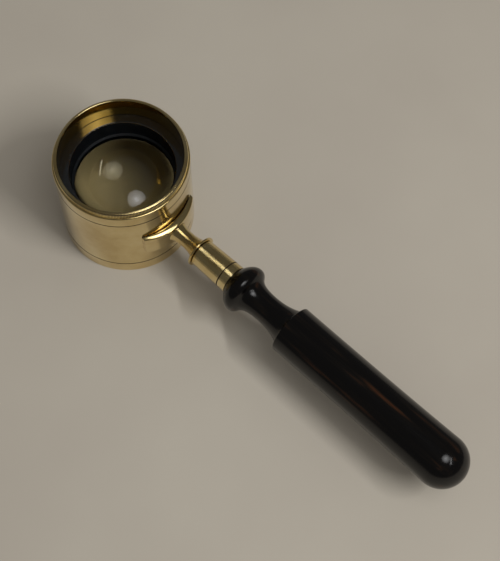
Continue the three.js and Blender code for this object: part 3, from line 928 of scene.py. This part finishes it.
ferrule = turned("ferrule_tube", [
    (FERRULE_FRONT - FERRULE_WALL, ferrule_start, BROKEN_EDGE),
    (FERRULE_FRONT, ferrule_start, FERRULE_EDGE),
    *scribed(line_radius, line_place, FERRULE_LINE_WIDTH, FERRULE_LINE_DEPTH),
    (FERRULE_BACK, ferrule_end, BROKEN_EDGE),
    (FERRULE_FRONT - FERRULE_WALL, ferrule_end, 0),
], ALONG, HANDLE_ROOT, HANDLE_STEPS)
dress(ferrule, handle_brass, cut_dirt)
dirty_cuts(ferrule, lambda c: abs(c.x - DRUM_X - line_place) < FERRULE_LINE_WIDTH / 2
           and from_handle_axis(c) > FERRULE_FRONT - FERRULE_WALL / 2)
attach(ferrule, "handle")
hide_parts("ferrule")

# %% [markdown]
# ## The ebony handle
# Bulb, neck, square shoulder and the long swelling grip are one piece of wood. The bulb and the neck are
# pulled curves, the grip swells late, towards its round end, and a blunt scraper has just taken the
# shoulder's edge off. A subdivided cage would give soft curves too, but the shoulder has to stay crisp,
# so the wood is spun from an outline like the brass.

# %% Handle
BULB_RADIUS = 9.55 * MM
BULB_FRONT = 5.1 * MM
BULB_BACK = 2.9 * MM
BULB_BACK_RADIUS = 7.7 * MM
WOOD_NECK_RADIUS = 5.35 * MM
WOOD_NECK_FRONT = 8.6 * MM
WOOD_NECK_BACK = 11.2 * MM
SHOULDER_STEP = 1.48 * MM
SHOULDER_EDGE = 0.45 * MM
GRIP_FRONT = 9.48 * MM
GRIP_BACK = 10.0 * MM
GRIP_LENGTH = 72.0 * MM
SWELL_POWER = 3
TANG_BORE = 2.2 * MM
wood_front = ferrule_end + SEAT_GAP
bulb_top = wood_front + BULB_FRONT
bulb_end = bulb_top + BULB_BACK
waist = bulb_end + WOOD_NECK_FRONT
shoulder = waist + WOOD_NECK_BACK
grip_back = shoulder + GRIP_LENGTH
inside_ferrule = FERRULE_FRONT - FERRULE_WALL - SOLDER_GAP
tang_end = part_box("handle_tang")[1].x - DRUM_X + SEAT_GAP
tenon_front = grip_low.x - DRUM_X
CURVE_STEPS = 18
BULB_BACK_STEPS = 10
END_STEPS = 24

swell = []
for step in range(CURVE_STEPS):
    share = (step + 1) / CURVE_STEPS
    radius = GRIP_FRONT + (GRIP_BACK - GRIP_FRONT) * share ** SWELL_POWER
    swell.append((radius, shoulder + GRIP_LENGTH * share))

grip = turned("grip_ebony", [
    (0, tang_end),
    (TANG_BORE, tang_end),
    (TANG_BORE, tenon_front),
    (inside_ferrule, tenon_front),
    (inside_ferrule, wood_front),
    *pulled((FERRULE_BACK, wood_front), (BULB_RADIUS, bulb_top), (0.55, 0.28), (1, 0.6), CURVE_STEPS),
    *pulled((BULB_RADIUS, bulb_top), (BULB_BACK_RADIUS, bulb_end), (0, 0.55), (0.45, 0.75),
            BULB_BACK_STEPS)[1:],
    *pulled((BULB_BACK_RADIUS, bulb_end), (WOOD_NECK_RADIUS, waist), (0.6, 0.12), (1, 0.35),
            CURVE_STEPS)[1:],
    *pulled((WOOD_NECK_RADIUS, waist), (GRIP_FRONT - SHOULDER_STEP, shoulder), (0, 0.45), (0.45, 0.82),
            CURVE_STEPS)[1:],
    (GRIP_FRONT, shoulder, SHOULDER_EDGE),
    *swell,
    *arc((0, grip_back), GRIP_BACK, 0, math.pi / 2, END_STEPS)[1:-1],
    (0, grip_back + GRIP_BACK),
], ALONG, HANDLE_ROOT, HANDLE_STEPS, closed=False)
dress(grip, ebony)
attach(grip, "handle")
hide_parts("handle_grip")

# %% [markdown]
# ## The tang
# The socket and its tang are out of sight in ferrule and wood, and keep the frame's own shape. They only
# need their metal.

# %% Tang
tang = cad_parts["handle_tang"]
dress(tang, handle_brass)
print("tang keeps", len(tang.data.polygons), "faces of the frame")

# %% [markdown]
# ## Floor
# The instrument lies on a plain warm grey sheet of matt paper with hardly any texture: a faint
# cloudiness, a hand's breadth across, and a tooth of two thirds of a millimetre, coarser than real
# paper's, that keeps it from looking like plastic.

# %% Floor
FLOOR_HALF = 3.0
CLOUDS_SCALE = 0.009 * PER_MM
PAPER_TOOTH_SCALE = 1.5 * PER_MM
PAPER_TOOTH_DEPTH = 0.05 * MM


def paper():
    material, tree, output, place = new_material("floor_paper_matt")
    clouds = add_node(tree, "ShaderNodeTexNoise", {
        "Vector": place, "Scale": CLOUDS_SCALE, "Detail": 4.0})
    tone = add_node(tree, "ShaderNodeValToRGB", {"Fac": clouds.outputs["Fac"]},
                    [(0.3, "#ABA397"), (0.7, "#B3AC9F")])
    tooth = add_node(tree, "ShaderNodeTexNoise", {
        "Vector": place, "Scale": PAPER_TOOTH_SCALE, "Detail": 2.0})
    bump = add_node(tree, "ShaderNodeBump", {
        "Height": tooth.outputs["Fac"], "Strength": 0.15, "Distance": PAPER_TOOTH_DEPTH})
    shader = add_node(tree, "ShaderNodeBsdfPrincipled", {
        "Base Color": tone.outputs["Color"], "Roughness": 0.85, "Normal": bump.outputs["Normal"]})
    tree.links.new(shader.outputs["BSDF"], output.inputs["Surface"])
    return material


bpy.ops.object.select_all(action='DESELECT')
bpy.ops.mesh.primitive_plane_add(size=2 * FLOOR_HALF, location=(0, 0, 0))
floor = bpy.context.object
floor.name = "floor"
dress(floor, paper())

# %% [markdown]
# ## Lamps
# The highlights say where the light comes from: a long narrow lamp and a big round soft one, both over
# the table's right end. Their directions are given from the drum, as azimuth and elevation, with the
# azimuth counted from the picture's right. The round lamp is brightest in its middle, so it is a few
# plain discs, one before the other, whose light adds up. The glass would gather more of it on the paper
# than the photo shows, so the discs count for less once a matt surface has thrown their light on, which a
# Light Path node finds out. The narrow lamp is two as well: a faint one draws the thin lines on brass and
# glass, and a strong one in the same place, which mirrors and lenses don't see, lights the table and
# casts the shadows.

# %% Lamps
VIEW_TURN = 43.62
DRUM_MIDDLE = Vector((DRUM_X, 0, BARREL_TOP / 2))
LAMP_GAP = 2 * MM
UNDER_GLASS = 0.48


def towards(azimuth, elevation):
    turned_by, risen = math.radians(azimuth + VIEW_TURN), math.radians(elevation)
    level = math.cos(risen)
    return Vector((level * math.cos(turned_by), level * math.sin(turned_by), math.sin(risen)))


def hang(name, shape, place, width, height, radiance, along=None, scattered=1.0):
    """An area lamp that faces the drum, with its longer side along a direction.

    scattered is its share for light that a matt surface has thrown on before."""
    data = bpy.data.lights.new(name, 'AREA')
    data.shape = shape
    data.size = width
    data.size_y = height
    area = width * height * (math.pi / 4 if shape == 'ELLIPSE' else 1)
    data.energy = math.pi * radiance * area
    data.use_nodes = True
    glow = data.node_tree
    share = add_node(glow, "ShaderNodeMapRange", {
        "Value": add_node(glow, "ShaderNodeLightPath").outputs["Diffuse Depth"], "To Min": 1.0,
        "To Max": scattered}).outputs["Result"]
    glow.links.new(share, glow.nodes["Emission"].inputs["Strength"])
    body = bpy.data.objects.new(name, data)
    bpy.context.scene.collection.objects.link(body)
    body.location = place
    away = (place - DRUM_MIDDLE).normalized()
    side = (along - away * along.dot(away)).normalized() if along else away.orthogonal().normalized()
    body.rotation_euler = Matrix((side, away.cross(side), away)).transposed().to_euler()
    return body


def soft_disc(name, aim, distance, layers):
    """Discs of (angle across, radiance), the widest one at the back."""
    for number, (across, radiance) in enumerate(layers):
        away = distance - number * LAMP_GAP
        width = 2 * away * math.tan(math.radians(across) / 2)
        hang(f"{name}_{number}", 'ELLIPSE', DRUM_MIDDLE + towards(*aim) * away, width, width, radiance,
             scattered=UNDER_GLASS)


STRIP_AIMS = ((-16, 53), (-45, 40))
STRIP_DISTANCE = 1.19
STRIP_WIDTH = 48 * MM
STRIP_GLINT = 8.0
STRIP_WASH = 86.0
DISC_AIM = (-45, 65)
DISC_DISTANCE = 0.85
DISC_LAYERS = [(28.5, 2.2), (20, 0.7), (14, 0.9), (9, 1.2), (5, 1.8)]
strip_ends = [DRUM_MIDDLE + towards(*aim) * STRIP_DISTANCE for aim in STRIP_AIMS]
strip_run = strip_ends[1] - strip_ends[0]
strip_middle = (strip_ends[0] + strip_ends[1]) / 2
hang("lamp_strip", 'RECTANGLE', strip_middle, strip_run.length, STRIP_WIDTH, STRIP_GLINT, strip_run)
strip_wash = hang("lamp_strip_wash", 'RECTANGLE', strip_middle, strip_run.length, STRIP_WIDTH, STRIP_WASH,
                  strip_run)
strip_wash.visible_glossy = False
strip_wash.visible_transmission = False
print("strip length", round(strip_run.length, 3))
soft_disc("lamp_right", DISC_AIM, DISC_DISTANCE, DISC_LAYERS)

# %% [markdown]
# ## The room
# The room is a plain warm grey that fills the shadows. Polished brass, glass and waxed wood mirror its
# unlit parts, which are darker, so mirror and glass rays get a lower strength. A panorama of a real room
# could light it too, but the brass would mirror shapes that the photo doesn't show.

# %% Room
ROOM_LIGHT = 0.36
ROOM_MIRRORED = 0.1
world = bpy.data.worlds.new("quiet_room")
bpy.context.scene.world = world
world.use_nodes = True
room = world.node_tree
ray = add_node(room, "ShaderNodeLightPath").outputs
seen = add_node(room, "ShaderNodeMath", {0: ray["Is Glossy Ray"], 1: ray["Is Transmission Ray"]},
                operation='MAXIMUM').outputs["Value"]
strength = add_node(room, "ShaderNodeMapRange", {
    "Value": seen, "To Min": ROOM_LIGHT, "To Max": ROOM_MIRRORED}).outputs["Result"]
room.nodes["Background"].inputs["Color"].default_value = linear("#F2EFEA")
room.links.new(strength, room.nodes["Background"].inputs["Strength"])
print("room", ROOM_LIGHT, "and as mirrored", ROOM_MIRRORED)

# %% [markdown]
# ## Camera
# The picture is taken from above the table's near edge, 65 degrees down, with a lens about twice as long
# as the picture's diagonal. The camera isn't rolled, so its place and two angles are all it needs.

# %% Camera
CAMERA_PLACE = (0.1457, -0.1588, 0.5071)
CAMERA_PITCH = 65.173
SENSOR = 36.0
PICTURE_HEIGHT = 561
FOCAL_PIXELS = 1457.8
FARTHEST_SEEN = 50

camera_data = bpy.data.cameras.new("camera")
camera_data.sensor_fit = 'VERTICAL'
camera_data.sensor_height = SENSOR
camera_data.lens = FOCAL_PIXELS / PICTURE_HEIGHT * SENSOR
camera_data.clip_end = FARTHEST_SEEN
camera = bpy.data.objects.new("camera", camera_data)
bpy.context.scene.collection.objects.link(camera)
camera.location = CAMERA_PLACE
camera.rotation_euler = (math.radians(90 - CAMERA_PITCH), 0, math.radians(VIEW_TURN))
bpy.context.scene.camera = camera
bpy.context.scene.view_settings.view_transform = 'Standard'
bpy.context.scene.cycles.blur_glossy = 0.0
print("focal length", round(camera_data.lens, 1), "on a sensor", SENSOR, "high")
